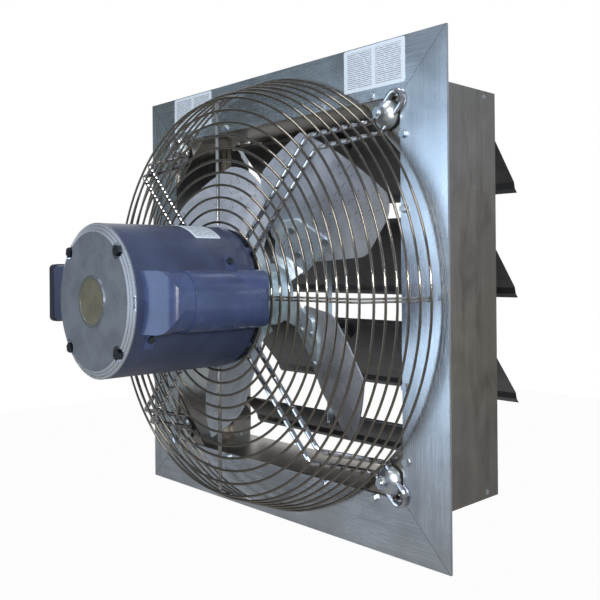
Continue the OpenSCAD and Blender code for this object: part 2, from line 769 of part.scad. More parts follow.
// Rear end bell: tapering, with four bosses that seat on the mount plate
module rear_bell() color(motor_blue) difference() {
    union() {
        y_revolve() polygon([
            [shaft_r + rear_bore_gap, bell_back_y], [shell_r - bell_edge, bell_back_y],
            [shell_r, bell_back_y - bell_edge], [shell_r, shell_back_y + seat],
            [shell_r - shell_t - spigot_gap, shell_back_y + seat],
            [shell_r - shell_t - spigot_gap, shell_back_y - bell_spigot],
            [shell_r - shell_t - bell_wall, shell_back_y - bell_spigot],
            [shell_r - shell_t - bell_wall, bell_back_y - bell_wall],
            [bearing_r + housing_t, bell_back_y - bell_wall],
            [bearing_r + housing_t, bearing_y_rear],
            [bearing_r + seat, bearing_y_rear], [bearing_r + seat, bearing_y_rear + bearing_w + seat],
            [shaft_r + rear_bore_gap, bearing_y_rear + bearing_w + seat]]);
        at_bolts() y_rod(boss_r, bell_back_y - bell_wall / 2, plate_y - seat);
    }
    at_bolts() y_rod(bolt_r + hole_gap, shell_back_y - bell_spigot - cut, plate_y + cut);
}

// Round cap over the front bearing, in a raised ring
module bearing_cap() color([0.66, 0.6, 0.5]) {
    y_rod(cap_r, face_y - cap_proud, face_y + cap_recess - seat);
    y_revolve() translate([cap_r - cap_ring_w, face_y - cap_proud - cap_ring_h])
        square([cap_ring_w, cap_ring_h + cap_proud]);
}

// Long bolts from the front bell to the mount plate
module through_bolts() color(zinc) at_bolts() {
    y_hex(bolt_af, face_y + bolt_pocket_d - bolt_head_h, face_y + bolt_pocket_d - seat);
    y_rod(bolt_r, face_y + bolt_pocket_d - bolt_head_h / 2, plate_y + plate_t + bolt_nut_h + bolt_tail);
}

module through_bolt_nuts() color(zinc) at_bolts() difference() {
    y_hex(bolt_af, plate_y + plate_t + seat, plate_y + plate_t + bolt_nut_h);
    y_rod(bolt_r + seat, plate_y, plate_y + plate_t + bolt_nut_h + cut);
}

// Laminated stator, relieved where the through bolts pass
module stator_core() color([0.35, 0.36, 0.38]) difference() {
    y_rod(shell_r - shell_t - spigot_gap, stator_front, stator_front + stator_len);
    y_rod(stator_in_r, stator_front - cut, stator_front + stator_len + cut);
    at_bolts() y_rod(bolt_r + bolt_way, stator_front - cut, stator_front + stator_len + cut);
}

// Rounded end turns of the windings at both ends of the stator
module stator_windings() color([0.72, 0.38, 0.16])
    for (end = [stator_front - winding_len, stator_front + stator_len])
        y_revolve() translate([winding_in_r, end + (end < stator_front ? 0 : seat)])
            square([winding_out_r - winding_in_r, winding_len - seat]);

// A ball bearing as one ring, at its place along the shaft
module bearing(y) difference() {
    y_rod(bearing_r, y, y + bearing_w);
    y_rod(shaft_r + run, y - cut, y + bearing_w + cut);
}

module front_bearing() color(bright) bearing(bearing_y_front);
module rear_bearing() color(bright) bearing(bearing_y_rear);

// Cross-section of the capacitor cover in [x, z], drawn in by the distance given
module cover_section(in) {
    r = cover_corner_r - in;
    h = cover_w / 2 - in;
    x = cover_x - in;
    translate([cover_low_x, -h]) square([x - r - cover_low_x, 2 * h]);
    translate([cover_low_x, -h + r]) square([x - cover_low_x, 2 * (h - r)]);
    for (s = [-1, 1]) translate([x - r, s * (h - r)]) circle(r = r);
}

// Side view of the cover in [x, y]: a sloping nose in front and a rounded end behind
function cover_side(in) = rounded(
    [[cover_low_x, cover_front - cover_nose / 2 + in], [cover_x - in, cover_front + cover_nose + in],
     [cover_x - in, cover_back - in], [cover_low_x, cover_back - in]],
    [in / 4 + cut / 4, cover_end_r, cover_end_r - in, cut / 4], 8);

module cover_body(in) intersection() {
    y_extrude(cover_front - cover_nose, cover_back) cover_section(in);
    translate([0, 0, -cover_w]) linear_extrude(height = 2 * cover_w) polygon(cover_side(in));
}

// The waist is a slab that the cover is drawn in at
module waist_slab(in) translate([0, cover_front + waist_front - in, -cover_w])
    cube([2 * cover_x, waist_len + 2 * in, 2 * cover_w]);

// Pressed cover over the capacitor, with a waist and two screwed ears
module capacitor_cover() color(motor_blue) difference() {
    union() {
        difference() {
            cover_body(0);
            waist_slab(0);
        }
        intersection() {
            cover_body(waist_in);
            waist_slab(cut / 2);
        }
        cover_ears();
    }
    cover_body(cover_t + waist_in);
    y_rod(shell_r + seat, cover_front - cut - cover_nose, cover_back + cut);
    at_ears() cylinder(r = cover_screw_r + hole_gap, h = 2 * cover_screw_len, center = true);
}

// The two ears lie on the shell beside the cover, one up at the back and one down in front
ear_angles = [cover_side_angle + atan(ear_out[0] / shell_r),
              -cover_side_angle - atan(ear_out[1] / shell_r)];
ear_places = [shell_back_y - ear_in[0], shell_front_y + ear_in[1]];

module at_ears() for (i = [0, 1])
    at_angle(ear_angles[i]) translate([shell_r, ear_places[i], 0]) rotate([0, 90, 0]) children();

module cover_ears() intersection() {
    for (i = [0, 1]) at_angle(ear_angles[i]) translate([0, ear_places[i] - ear_len / 2, -ear_w])
        cube([2 * shell_r, ear_len, 1.5 * ear_w]);
    difference() {
        y_rod(shell_r + seat + cover_t, shell_front_y, shell_back_y);
        y_rod(shell_r + seat, shell_front_y - cut, shell_back_y + cut);
    }
}

module capacitor() color([0.82, 0.83, 0.84])
    translate([shell_r + strap_gap + capacitor_r, 0, 0])
        y_rod(capacitor_r, cover_back - capacitor_back - capacitor_len, cover_back - capacitor_back);

module cover_screws() color(zinc) at_ears() {
    translate([0, 0, seat + cover_t]) cylinder(r = cover_screw_head_r, h = cover_screw_head_h);
    cylinder(r = cover_screw_r, h = 2 * cover_t);
}

// Rounded rectangle of the conduit box in [y, z], grown by the distance given
module conduit_outline(grow) {
    r = conduit_corner_r + grow;
    y0 = conduit_front - grow;
    z0 = conduit_top - conduit_h - grow;
    w = conduit_len + 2 * grow;
    h = conduit_h + 2 * grow;
    translate([y0 + r, z0]) square([w - 2 * r, h]);
    translate([y0, z0 + r]) square([w, h - 2 * r]);
    for (y = [y0 + r, y0 + w - r], z = [z0 + r, z0 + h - r]) translate([y, z]) circle(r = r);
}

// A slab of an outline in [y, z] from x0 to x1 on the left side
module left_slab(x0, x1) translate([-x0, 0, 0]) rotate([0, -90, 0]) rotate([0, 0, -90])
    mirror([1, 0, 0]) linear_extrude(height = x1 - x0) children();

// Open box on the left of the motor, with the conduit entry below
module conduit_box() color(motor_blue) difference() {
    left_slab(conduit_low_x, conduit_x - lid_d - seat) conduit_outline(-lid_over);
    left_slab(shell_r + conduit_t, conduit_x) conduit_outline(-lid_over - conduit_t);
    y_rod(shell_r + seat, conduit_front - cut, conduit_front + conduit_len + cut);
    translate([-(shell_r + conduit_x - lid_d) / 2 - entry_shift, conduit_front + conduit_len / 2,
               conduit_top - conduit_h - cut])
        cylinder(d = entry_d, h = conduit_h / 2);
    at_conduit_screws() cylinder(r = conduit_screw_r + conduit_screw_gap, h = 3 * lid_d, center = true);
}

// Screwed lid with a rim that laps over the box
module conduit_lid() color([0.2, 0.24, 0.34]) difference() {
    left_slab(conduit_x - lid_d, conduit_x) conduit_outline(0);
    left_slab(conduit_x - lid_d - cut, conduit_x - conduit_t) conduit_outline(-conduit_t);
    at_conduit_screws()
        cylinder(r = conduit_screw_r + conduit_screw_gap + hole_gap, h = 3 * lid_d, center = true);
}

module at_conduit_screws()
    for (y = [conduit_front + conduit_screw_in, conduit_front + conduit_len - conduit_screw_in])
        translate([-conduit_x, y, conduit_top - conduit_h / 2]) rotate([0, -90, 0]) children();

module conduit_screws() color(zinc) at_conduit_screws() {
    translate([0, 0, seat]) cylinder(r = conduit_head_r, h = conduit_head_h);
    translate([0, 0, -lid_d]) cylinder(r = conduit_screw_r, h = lid_d + conduit_head_h / 2);
}

module motor_shaft() color(bright) y_rod(shaft_r, bearing_y_front, prop_y + shaft_tail);

module rotor_core() color([0.4, 0.41, 0.43]) difference() {
    y_rod(stator_in_r - air_gap, stator_front, stator_front + stator_len);
    y_rod(shaft_r + seat, stator_front - cut, stator_front + stator_len + cut);
}

// Cast hub on the shaft, with a flange against the front of the spider
module fan_hub() color([0.6, 0.61, 0.62]) difference() {
    union() {
        y_rod(hub_d / 2, spider_y - spider_t / 2 - seat - hub_len, spider_y - spider_t / 2 - seat);
        y_rod(hub_flange_r, spider_y - spider_t / 2 - seat - hub_flange_t, spider_y - spider_t / 2 - seat);
        y_rod(hub_spigot_r, spider_y - spider_t / 2 - cut, spider_y + spider_t / 2 + hub_spigot_proud);
    }
    y_rod(shaft_r + seat, spider_y - hub_len - 3 * cut - spider_t, spider_y + spider_t + 2 * cut);
    hub_rivet_holes();
    set_screw_hole();
}

module set_screw_hole() translate([0, spider_y - spider_t / 2 - set_screw_back, 0])
    cylinder(r = set_screw_r + seat, h = hub_d);

module hub_set_screw() color(zinc) translate([0, spider_y - spider_t / 2 - set_screw_back, 0])
    translate([0, 0, shaft_r + seat]) cylinder(r = set_screw_r, h = hub_d / 2 - shaft_r + set_screw_proud);

module at_hub_rivets() for (a = [0 : 90 : 270]) at_angle(a + blade_phase + 45)
    translate([hub_rivet_r, 0, 0]) children();

module hub_rivet_holes() at_hub_rivets()
    y_rod(rivet_r + hole_gap, spider_y - spider_t / 2 - hub_len, spider_y + spider_t + cut);

// The curved plate that a blade or a pad is cut from, between two depths behind its front
module camber_plate(front, back, length)
    translate([0, prop_y + camber_r, 0]) rotate([0, 90, 0]) difference() {
        cylinder(r = camber_r + front, h = length);
        translate([0, 0, -cut]) cylinder(r = camber_r + back, h = length + 2 * cut);
    }

// Turns a blade that lies flat to its pitch about its own arm
module pitched()
    translate([0, prop_y, 0]) rotate([blade_pitch, 0, 0]) translate([0, -prop_y, 0]) children();

// Places a shape drawn on the middle line of a blade that lies along +X at blade i
module at_blade(i) at_angle(blade_turns[i] + blade_phase) translate([0, 0, blade_offset]) children();

module blade_rivet_holes()
    for (p = blade_rivet_places) translate([p.x, 0, p.y])
        y_rod(rivet_r + hole_gap, prop_y - 6 * spider_t, prop_y + 6 * spider_t);

// Spider: a flat disc whose four arms twist into pitched pads
module fan_spider() color(bell_grey) difference() {
    union() {
        y_rod(disc_r, spider_y - spider_t / 2, spider_y + spider_t / 2);
        for (i = [0 : 3]) at_blade(i) {
            translate([neck_start, spider_y, 0]) rotate([0, 90, 0])
                linear_extrude(height = neck_end_share * tip_r - neck_start, twist = -blade_pitch,
                               slices = neck_steps, segments = 4)
                    translate([neck_side, 0]) square([neck_w, neck_t], center = true);
            pitched() difference() {
                intersection() {
                    camber_plate(blade_t + seat + spider_t, blade_t + seat, tip_r);
                    y_extrude(prop_y - 10 * spider_t, prop_y + 10 * spider_t)
                        polygon(rounded(pad_outline_shares * tip_r, pad_corner_shares * tip_r, 6));
                }
                blade_rivet_holes();
            }
        }
    }
    y_rod(hub_spigot_r + seat, spider_y - spider_t, spider_y + spider_t);
    hub_rivet_holes();
}

// One blade: a curved sheet cut to its outline and to the circle of the tips
module fan_blade(i) color([0.8, 0.82, 0.85])
    intersection() {
        at_blade(i) pitched() difference() {
            intersection() {
                camber_plate(blade_t, 0, 1.2 * tip_r);
                y_extrude(prop_y - tip_r / 4, prop_y + tip_r / 4)
                    polygon(rounded(blade_outline_shares * tip_r, blade_corner_shares * tip_r, 8));
            }
            blade_rivet_holes();
        }
        y_rod(tip_r, prop_y - tip_r, prop_y + tip_r);
    }

module fan_blade_1() fan_blade(0);
module fan_blade_2() fan_blade(1);
module fan_blade_3() fan_blade(2);
module fan_blade_4() fan_blade(3);

// Depth of the blade's hollow face behind its middle at the distance s across the arm
function camber(s) = camber_r - sqrt(camber_r * camber_r - s * s);

// Rivets through the pads and blades, and through the hub flange and spider
module blade_rivets() color(zinc) {
    for (i = [0 : 3]) at_blade(i) pitched()
        for (p = blade_rivet_places) translate([p.x, prop_y + camber(p.y), p.y]) {
            tilt = asin(p.y / camber_r);
            rotate([-tilt, 0, 0]) {
                y_rod(rivet_r - 2 * seat, -blade_t - spider_t - rivet_dome_h / 2, rivet_dome_h / 2);
                y_rod(rivet_dome_r, -blade_t - spider_t - rivet_dome_h, -blade_t - spider_t - 4 * seat);
                y_rod(rivet_dome_r, 4 * seat, rivet_dome_h);
            }
        }
    at_hub_rivets() {
        y_rod(rivet_r, spider_y - spider_t / 2 - hub_flange_t - rivet_dome_h, spider_y + spider_t);
        y_rod(rivet_dome_r, spider_y + spider_t / 2 + seat, spider_y + spider_t / 2 + rivet_dome_h);
        y_rod(rivet_dome_r, spider_y - spider_t / 2 - hub_flange_t - rivet_dome_h,
              spider_y - spider_t / 2 - hub_flange_t - 2 * seat);
    }
}

// Path of a blade's inner face from the curl to the hem
function louvre_path(last) = let (end = last ? last_blade_len : hem_end, s = end - hem_end) [
    [0, curl_in_r + curl_lap], [joggle_start, curl_in_r + curl_lap],
    [joggle_start + joggle_len, panel_out],
    [band_start + s, panel_out], [hem_start + s, hem_out], [hem_end + s, hem_out]];

// Places a shape drawn as [down, outward, across] on pivot i, opened by the drawn angle
module at_pivot(i) translate([0, pivot_y, pivot_height(i)]) rotate([shutter_open - 90, 0, 0])
    rotate([90, 0, 90]) children();

// A straight arm in the plane of a tab, round at both ends
module arm(a, b, w) {
    for (p = [a, b]) translate(p) circle(d = w, $fn = 48);
    translate(a) rotate([0, 0, atan2(b.y - a.y, b.x - a.x)])
        translate([0, -w / 2]) square([norm(b - a), w]);
}

tie_eye = tie_r * [-sin(tie_angle), -cos(tie_angle)];

// Blade: a pressed sheet with a curl round its rod and a tab for the tie bar
module shutter_blade(i) color([0.5, 0.53, 0.58]) at_pivot(i) {
    difference() {
        union() {
            translate([0, 0, -louvre_half]) linear_extrude(height = 2 * louvre_half) {
                polygon(sheet_outline(louvre_path(i == 3), louvre_t));
                circle(r = curl_r, $fn = 48);
            }
            translate([0, 0, tie_x - tab_t / 2]) linear_extrude(height = tab_t) {
                polygon(strip_outline([tab_root[1], tab_root[0], tab_elbow, tie_eye], tab_arm_w));
                translate(tie_eye) circle(r = tab_eye_r, $fn = 48);
            }
        }
        translate([0, 0, -louvre_half - cut]) cylinder(r = curl_in_r, h = 2 * (louvre_half + cut));
        translate([tie_eye.x, tie_eye.y, tie_x - tab_t])
            cylinder(r = tie_pin_r + (i == 0 ? run : tie_open_gap), h = 2 * tab_t);
    }
}

module shutter_blade_1() shutter_blade(0);
module shutter_blade_2() shutter_blade(1);
module shutter_blade_3() shutter_blade(2);
module shutter_blade_4() shutter_blade(3);

// Pivot rod of blade i, from bush to bush
module pivot_rod(i) color(bright) translate([-rod_half, pivot_y, pivot_height(i)])
    rotate([0, 90, 0]) cylinder(r = pivot_r, h = 2 * rod_half);

module pivot_rod_1() pivot_rod(0);
module pivot_rod_2() pivot_rod(1);
module pivot_rod_3() pivot_rod(2);
module pivot_rod_4() pivot_rod(3);

// Place of eye i in [y, z] as the blades are drawn
function eye_at(i) = let (a = shutter_open) [
    pivot_y + tie_eye.x * sin(a) + tie_eye.y * cos(a),
    pivot_height(i) - tie_eye.x * cos(a) + tie_eye.y * sin(a)];

// Vertical bar that links the four blades
module tie_bar() color(bright)
    translate([tie_x + tab_t / 2 + tie_side_gap, 0, 0]) rotate([90, 0, 90]) linear_extrude(height = tie_t)
        difference() {
            arm(eye_at(0), eye_at(3), tie_w);
            for (i = [0 : 3]) translate(eye_at(i)) circle(r = tie_pin_r + seat);
        }

// Headed pins in the bar, one for each tab
module tie_pins() color(zinc)
    for (i = [0 : 3]) translate([tie_x, eye_at(i).x, eye_at(i).y]) rotate([0, 90, 0]) {
        far = tab_t / 2 + tie_side_gap;
        translate([0, 0, -far - tie_head_t]) cylinder(r = tie_pin_r, h = 2 * far + tie_t + 2 * tie_head_t);
        translate([0, 0, -far - tie_head_t]) cylinder(r = tie_head_r, h = tie_head_t);
        translate([0, 0, far + tie_t + seat]) cylinder(r = tie_head_r, h = tie_head_t);
    }

frame_top();
frame_bottom();
frame_left();
frame_right();
frame_screws();
box_top();
box_bottom();
box_left();
box_right();
box_rivets();
corner_gussets();
shutter_rail_left();
shutter_rail_right();
shutter_bushes();
guard_rings();
guard_side_rings();
guard_spokes();
strut_rods();
clamp_pads();
strut_clamps();
clamp_bolts();
clamp_nuts();
motor_mount_plate();
motor_shell();
front_bell();
rear_bell();
bearing_cap();
through_bolts();
through_bolt_nuts();
stator_core();
stator_windings();
front_bearing();
rear_bearing();
capacitor_cover();
capacitor();
cover_screws();
conduit_box();
conduit_lid();
conduit_screws();
motor_shaft();
rotor_core();
fan_hub();
fan_spider();
hub_set_screw();
fan_blade_1();
fan_blade_2();
fan_blade_3();
fan_blade_4();
blade_rivets();
shutter_blade_1();
shutter_blade_2();
shutter_blade_3();
shutter_blade_4();
pivot_rod_1();
pivot_rod_2();
pivot_rod_3();
pivot_rod_4();
tie_bar();
tie_pins();
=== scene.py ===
"""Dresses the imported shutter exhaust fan: finishes for every part, weld beads, stickers and a studio."""

import math

import bmesh
import bpy
from mathutils import Matrix, Quaternion, Vector


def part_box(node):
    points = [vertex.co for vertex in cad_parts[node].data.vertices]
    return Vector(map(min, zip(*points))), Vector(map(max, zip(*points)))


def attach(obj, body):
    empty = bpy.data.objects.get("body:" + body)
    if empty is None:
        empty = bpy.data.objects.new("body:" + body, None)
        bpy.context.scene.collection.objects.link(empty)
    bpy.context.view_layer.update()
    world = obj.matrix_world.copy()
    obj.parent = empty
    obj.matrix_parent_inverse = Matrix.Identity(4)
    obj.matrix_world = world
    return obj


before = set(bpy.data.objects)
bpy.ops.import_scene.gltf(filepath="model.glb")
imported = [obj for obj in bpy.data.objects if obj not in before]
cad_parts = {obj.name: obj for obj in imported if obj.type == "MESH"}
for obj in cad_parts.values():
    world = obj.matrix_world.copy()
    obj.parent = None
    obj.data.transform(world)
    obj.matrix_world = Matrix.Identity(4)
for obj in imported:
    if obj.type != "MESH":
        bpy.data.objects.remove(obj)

bl_info = {
    "name": "Shutter exhaust fan finishes",
    "version": (1, 0, 0),
    "blender": (4, 5, 0),
    "location": "3D View > Sidebar > Fan",
    "description": "Finishes, welds, stickers and studio for a wall-mounted shutter exhaust fan",
    "category": "Object",
}

MM = 0.001
TAU = 2 * math.pi
WHITE = (1.0, 1.0, 1.0)

# Stickers on the frame: name, centre across and up, width and height
FRAME_STICKERS = (
    ("sticker_right", (0.195, 0.2775), (0.100, 0.053)),
    ("sticker_left", (-0.188, 0.277), (0.100, 0.054)),
)

# The sticker on the motor: its two angles round the shaft, and its front and rear edge
MOTOR_STICKER = (math.radians(54), math.radians(105), -0.162, -0.125)

# Lamps: name, place, width, height, power in watts and tint
LAMPS = (
    ("window_lamp", (-0.98, -1.78, -0.10), 0.5, 0.6, 0.8, (0.78, 0.92, 1.0)),
    ("key_lamp", (1.4, -2.0, 1.3), 0.8, 0.8, 19, WHITE),
    ("flash_lamp", (0.90, -0.76, 0.11), 0.10, 0.08, 4.5, WHITE),
    ("top_lamp", (-0.3, -1.1, 2.2), 0.7, 0.7, 12, WHITE),
)

# The room that bare metal mirrors: its tones below and above, then a dark corner, a window and a pale wall,
# each with a direction, the cosines of the angles at which it starts and is full, and a colour
ROOM_LOW = (0.20, 0.165, 0.12)
ROOM_HIGH = (0.30, 0.34, 0.40)
ROOM_PATCHES = (
    ((-0.85, -0.5, 0.2), 0.90, 0.97, (0.085, 0.10, 0.095)),
    ((-0.50, -0.86, -0.08), 0.94, 0.985, (1.45, 1.9, 2.4)),
    ((0.90, 0.43, 0.0), 0.90, 0.97, (0.70, 0.85, 1.0)),
)


# Settings

def length(name, description, default):
    """A length property in metres."""
    return bpy.props.FloatProperty(name=name, description=description, default=default, unit="LENGTH",
                                   precision=5)


def share(name, description, default):
    """A property from 0 to 1."""
    return bpy.props.FloatProperty(name=name, description=description, default=default, min=0, max=1,
                                   subtype="FACTOR")


def colour(name, description, default):
    """A linear colour property."""
    return bpy.props.FloatVectorProperty(name=name, description=description, default=default, size=3,
                                         min=0, max=1, subtype="COLOR")


class FanSizes(bpy.types.PropertyGroup):
    """Sizes of the added pieces and of the bands in the finishes"""

    flat_rings: bpy.props.IntProperty(name="Flat rings", description="Number of the guard's flat rings",
                                      default=10)
    ring_pitch: length("Ring spacing", "Spacing of the guard's flat rings", 15.9 * MM)
    inner_ring: length("Inner ring", "Radius of the guard's innermost ring", 96 * MM)
    ring_wire: length("Ring wire", "Diameter of the ring wire", 3.2 * MM)
    rod_spacing: length("Rod spacing", "Distance between the two rods of a strut", 21.4 * MM)
    spoke_spacing: length("Spoke spacing", "Distance between the paired radial wires", 3.4 * MM)
    bead: length("Weld bead", "Radius of a weld bead across the wires", 1.7 * MM)
    sticker: length("Sticker thickness", "Thickness of the stickers", 0.15 * MM)
    sticker_corner: length("Sticker corner", "Radius of the stickers' corners", 3 * MM)
    bell_rim: length("Bell rim", "Width of the front end bell's bright rim", 10.5 * MM)
    cap_ring: length("Cap ring", "Width of the bright ring round the bearing cap", 3 * MM)


class FanColours(bpy.types.PropertyGroup):
    """Colours of the fan's finishes"""

    frame_sheet: colour("Frame sheet", "Bright rolled sheet of the wall frame", (0.70, 0.74, 0.80))
    box_sheet: colour("Box sheet", "Dull rolled sheet of the box", (0.50, 0.47, 0.43))
    # The guard wire's colour is darkened below its plating's: painted shade standing in for the dark room the
    # chrome mirrors.
    wire: colour("Guard wire", "Plated wire of the guard", (0.27, 0.24, 0.20))
    # The spokes' colour is a lighter copy of the same plating as the guard wire: painted reflection of a
    # bright window.
    spoke: colour("Spoke wire", "Brighter plated wire of the radial pairs", (0.62, 0.62, 0.60))
    rod: colour("Strut rod", "Plated rod of the struts", (0.58, 0.58, 0.60))
    zinc: colour("Zinc plating", "Zinc plating of clamps, screws and rivets", (0.64, 0.67, 0.72))
    screw: colour("Dark screws", "Blackened screws and bolts of the motor", (0.10, 0.11, 0.13))
    motor_paint: colour("Motor paint", "Dark blue-grey paint of the motor", (0.044, 0.060, 0.125))
    # The cover's paint is a lighter, bluer copy of the motor paint: partly painted light on the cover's side
    # that faces +X.
    cover_paint_and_light: colour("Cover paint", "Bluer paint of the capacitor cover", (0.056, 0.082, 0.195))
    lid_paint: colour("Lid paint", "Darker paint of the conduit box's lid", (0.018, 0.020, 0.036))
    bell: colour("Front bell", "Silver-grey of the front end bell", (0.27, 0.29, 0.33))
    bell_rim: colour("Bell rim", "Bright turned rim of the front end bell", (0.70, 0.76, 0.86))
    cap: colour("Bearing cap", "Tan face of the bearing cap", (0.15, 0.14, 0.10))
    blade: colour("Propeller blade", "Bright aluminium of the propeller", (0.72, 0.77, 0.86))
    spider: colour("Spider", "Plated steel of the spider", (0.74, 0.86, 1.0))
    # The shutter's aluminium is darkened to dark grey: partly painted shade for the inside of the box.
    louvre: colour("Shutter blade", "Dull aluminium of the shutter", (0.20, 0.20, 0.205))
    rubber: colour("Rubber", "Black rubber of the clamp pads", (0.02, 0.02, 0.02))
    paper: colour("Sticker face", "Off-white face of the stickers", (0.72, 0.83, 0.97))
    print_grey: colour("Sticker rules", "Dark grey of the rules on the stickers", (0.10, 0.11, 0.15))
    copper: colour("Copper", "Varnished copper of the windings", (0.45, 0.17, 0.07))
    steel: colour("Steel", "Bare steel of the cores and bearings", (0.50, 0.51, 0.53))
    plastic: colour("Bush plastic", "Moulded plastic of the shutter bushes", (0.75, 0.73, 0.66))


class StudioSettings(bpy.types.PropertyGroup):
    """Camera, lamps and backdrop"""

    eye: bpy.props.FloatVectorProperty(name="Camera place", description="Where the camera stands",
                                       default=(0.8294, -0.6876, 0.0376), size=3, subtype="XYZ",
                                       unit="LENGTH")
    heading: bpy.props.FloatProperty(name="Heading", description="Turn of the view from the wall's normal",
                                     default=math.radians(44.94), subtype="ANGLE", unit="ROTATION")
    tilt: bpy.props.FloatProperty(name="Tilt", description="Upward tilt of the view",
                                  default=math.radians(0.1), subtype="ANGLE", unit="ROTATION")
    roll: bpy.props.FloatProperty(name="Roll", description="Turn of the view about its own axis",
                                  default=math.radians(0.487), subtype="ANGLE", unit="ROTATION")
    lens: bpy.props.FloatProperty(name="Lens", description="Focal length in millimetres", default=46.55)
    shift: bpy.props.FloatVectorProperty(name="Shift", default=(-0.0775, -0.0588), size=2,
                                         description="Shift of the frame as a share of its width")
    floor_drop: length("Floor height", "Height of the floor under the fan's centre", 1.2)
    ambient: share("Ambient light", "Strength of the plain light from all round", 0.4)


# Shader expressions

class Flow:
    """A socket of a node tree. Each operator adds the Math node that works it out."""

    def __init__(self, graph, socket):
        self.graph = graph
        self.socket = socket

    def __add__(self, other):
        return self.graph.math("ADD", self, other)

    __radd__ = __add__

    def __sub__(self, other):
        return self.graph.math("SUBTRACT", self, other)

    def __rsub__(self, other):
        return self.graph.math("SUBTRACT", other, self)

    def __mul__(self, other):
        return self.graph.math("MULTIPLY", self, other)

    __rmul__ = __mul__

    def __pow__(self, other):
        return self.graph.math("POWER", self, other)

    def __abs__(self):
        return self.graph.math("ABSOLUTE", self)

    def __lt__(self, other):
        return self.graph.math("LESS_THAN", self, other)

    def __gt__(self, other):
        return self.graph.math("GREATER_THAN", self, other)

    def sine(self):
        return self.graph.math("SINE", self)


class Graph:
    """The node tree of a material or world."""

    def __init__(self, owner):
        owner.use_nodes = True
        self.tree = owner.node_tree
        self.tree.nodes.clear()

    def node(self, kind, settings=None, values=None, output=0):
        """A new node: first its settings, then its sockets' values or links. Gives one output or none."""
        made = self.tree.nodes.new(kind)
        for name, setting in (settings or {}).items():
            if name == "stops":
                self.set_stops(made.color_ramp.elements, setting)
            else:
                setattr(made, name, setting)
        for key, value in (values or {}).items():
            if isinstance(value, Flow):
                self.tree.links.new(value.socket, made.inputs[key])
            else:
                made.inputs[key].default_value = value
        return None if output is None else Flow(self, made.outputs[output])

    def set_stops(self, elements, stops):
        """Gives a colour ramp its stops as (position, colour)."""
        while len(elements) < len(stops):
            elements.new(1)
        for element, (position, value) in zip(elements, stops):
            element.position = position
            element.color = (*value, 1)

    def math(self, operation, *values):
        return self.node("ShaderNodeMath", {"operation": operation}, dict(enumerate(values)))

    def vector(self, operation, *values, output=0):
        return self.node("ShaderNodeVectorMath", {"operation": operation}, dict(enumerate(values)), output)

    def mix(self, factor, a, b):
        """A colour from a to b."""
        first, second = (end if isinstance(end, Flow) else (*end, 1) for end in (a, b))
        return self.node("ShaderNodeMix", {"data_type": "RGBA"}, {0: factor, 6: first, 7: second}, output=2)

    def step(self, value, low, high):
        """Runs smoothly from 0 at low to 1 at high."""
        return self.node("ShaderNodeMapRange", {"interpolation_type": "SMOOTHSTEP"},
                         {0: value, 1: low, 2: high})

    def place(self):
        """The point on the surface in the fan's own frame, in metres."""
        return self.node("ShaderNodeTexCoord", output=3)

    def axes(self, point):
        """The three coordinates of a point."""
        made = self.node("ShaderNodeSeparateXYZ", None, {0: point})
        outputs = made.socket.node.outputs
        return [Flow(self, outputs[i]) for i in range(3)]

    def along_shaft(self):
        """How far the surface point lies along the shaft."""
        return self.axes(self.place())[1]

    def from_shaft(self):
        """The surface point's distance from the shaft's line."""
        x, _, z = self.axes(self.place())
        return (x * x + z * z) ** 0.5

    def stretched(self, scale):
        """The surface point, scaled by its own factor along each axis."""
        return self.vector("MULTIPLY", self.place(), scale)

    def noise(self, point, scale, detail=2.0, roughness=0.5, distortion=0.0):
        return self.node("ShaderNodeTexNoise", None,
                         {"Vector": point, "Scale": scale, "Detail": detail, "Roughness": roughness,
                          "Distortion": distortion})

    def bump(self, height, depth, normal=None):
        """A normal from a height of 0 to 1 over a depth in metres."""
        values = {"Height": height, "Distance": depth, "Strength": 1.0}
        if normal is not None:
            values["Normal"] = normal
        return self.node("ShaderNodeBump", None, values)

    def surface(self, **sockets):
        """Ends the tree in a Principled shader. Names are its sockets, with _ for spaces."""
        values = {}
        for name, value in sockets.items():
            key = name.replace("_", " ")
            values[key] = (*value, 1) if isinstance(value, (tuple, list)) and len(value) == 3 else value
        shader = self.node("ShaderNodeBsdfPrincipled", None, values)
        self.node("ShaderNodeOutputMaterial", None, {0: shader}, None)


def new_material(name):
    """An empty material and its graph."""
    material = bpy.data.materials.new(name)
    return material, Graph(material)


def shaded(value, factor):
    """A colour made darker or lighter."""
    return tuple(min(1.0, part * factor) for part in value)


# Finishes

GRAIN = {"x": (14, 900, 900), "y": (900, 14, 900), "z": (900, 900, 14)}


def rolled_sheet(name, base, grain, roughness, seams=False, grime=0.0):
    """Rolled sheet metal with fine grain along one axis, soft clouds, flecks, and stains or mitre seams."""
    material, g = new_material(name)
    streak = g.noise(g.stretched(GRAIN[grain]), 1.0, 3.0, 0.6)
    band = g.noise(g.stretched(tuple(part / 12 for part in GRAIN[grain])), 1.0, 2.0, 0.5)
    cloud = g.noise(g.place(), 11.0, 4.0, 0.55, 0.4)
    fleck = g.step(g.noise(g.place(), 160.0, 3.0, 0.6), 0.60, 0.72)
    tone = cloud * 0.5 + band * 0.3 + streak * 0.2
    face = g.mix(g.step(tone, 0.34, 0.66), shaded(base, 0.82), shaded(base, 1.14))
    face = g.mix(fleck * 0.25, face, shaded(base, 1.3))
    if grime:
        stain = g.step(g.noise(g.stretched((5, 5, 1.5)), 5.0, 5.0, 0.6, 0.6), 0.48, 0.75)
        face = g.mix(stain * grime, face, (0.10, 0.085, 0.065))
    if seams:
        x, _, z = g.axes(g.place())
        seam = g.step(abs(abs(x) - abs(z)), 0.7 * MM, 0.15 * MM)
        face = g.mix(seam * 0.75, face, (0.04, 0.04, 0.045))
    rough = roughness + (streak - 0.5) * 0.16 + (cloud - 0.5) * 0.14
    g.surface(Base_Color=face, Metallic=1.0, Roughness=rough, Normal=g.bump(streak, 0.012 * MM))
    return material


